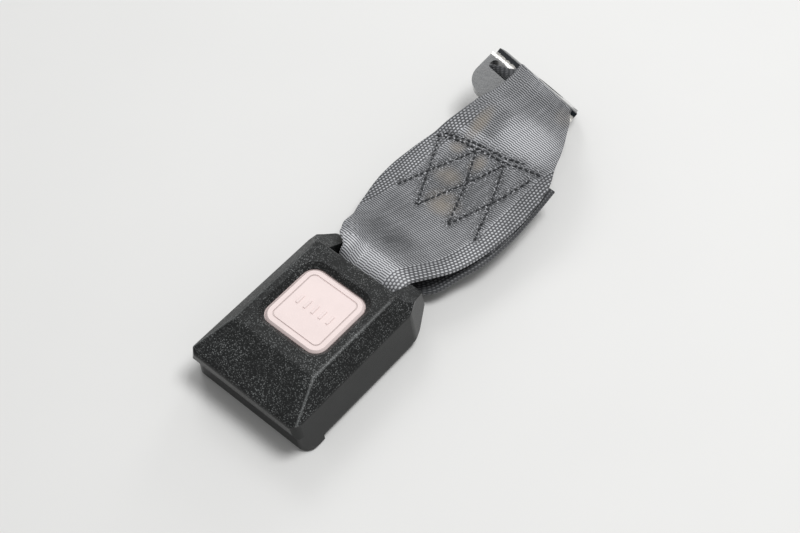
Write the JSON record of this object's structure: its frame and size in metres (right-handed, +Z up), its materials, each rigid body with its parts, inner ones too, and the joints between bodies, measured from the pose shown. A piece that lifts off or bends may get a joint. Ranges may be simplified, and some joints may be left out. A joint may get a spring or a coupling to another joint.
{
  "type": "seat belt buckle",
  "caption": "Seat belt buckle with press button, latch and ejector, on a short sewn webbing strap with a bent steel anchor plate.",
  "frame": {"origin": "bottom centre of the whole part's box, on the surface the buckle lies on", "axes": "+Y from the tongue mouth back along the strap to the anchor plate, +Z up through the button, +X across"},
  "size_m": [0.0522, 0.1696, 0.0231],
  "materials": {
    "cover_plastic": "finely speckled grain",
    "button_plastic": "smooth satin",
    "inner_plastic": "plain moulded",
    "frame_steel": "zinc plated",
    "latch_steel": "hardened",
    "spring_steel": "drawn wire",
    "screw_steel": "plated",
    "strap_fabric": "woven polyester, used",
    "anchor_paint": "gloss black paint"
  },
  "bodies": {
    "root": {"upper_cover": "cover_plastic", "lower_cover": "cover_plastic", "cover_screws": "screw_steel", "frame": "frame_steel", "tongue_guide": "inner_plastic", "spring_seat": "inner_plastic", "latch_pin": "latch_steel", "pin_clip": "spring_steel", "latch_spring": "spring_steel", "button_spring_left": "spring_steel", "button_spring_right": "spring_steel", "ejector_spring_left": "spring_steel", "ejector_spring_right": "spring_steel", "webbing": "strap_fabric"},
    "button": {"button": "button_plastic"},
    "latch": {"latch": "latch_steel"},
    "ejector": {"ejector": "inner_plastic"},
    "anchor": {"anchor_plate": "anchor_paint"}
  },
  "joints": [
    {"name": "button_press", "type": "slide", "parent": "root", "child": "button", "axis": [0, 0, -1], "range_m": [0, 0.0034], "stiffness_N_per_m": 400, "springref_m": -0.003, "deforming": ["button_spring_left", "button_spring_right"]},
    {"name": "latch_turn", "type": "hinge", "parent": "root", "child": "latch", "pos_m": [-0.00078, -0.05682, 0.0133], "axis": [-1, 0, 0], "range_deg": [0, 17.5], "deforming": ["latch_spring"]},
    {"name": "ejector_slide", "type": "slide", "parent": "root", "child": "ejector", "axis": [0, 1, 0], "range_m": [0, 0.0084], "stiffness_N_per_m": 150, "springref_m": -0.008, "deforming": ["ejector_spring_left", "ejector_spring_right"]},
    {"name": "anchor_swing", "type": "hinge", "parent": "root", "child": "anchor", "pos_m": [-0.00806, 0.05765, 0.01868], "axis": [0.9816, -0.1908, 0], "range_deg": [-10, 10]}
  ],
  "couplings": [
    {"joint": "latch_turn", "follows": "button_press", "rad_per_m": 87.266}
  ]
}
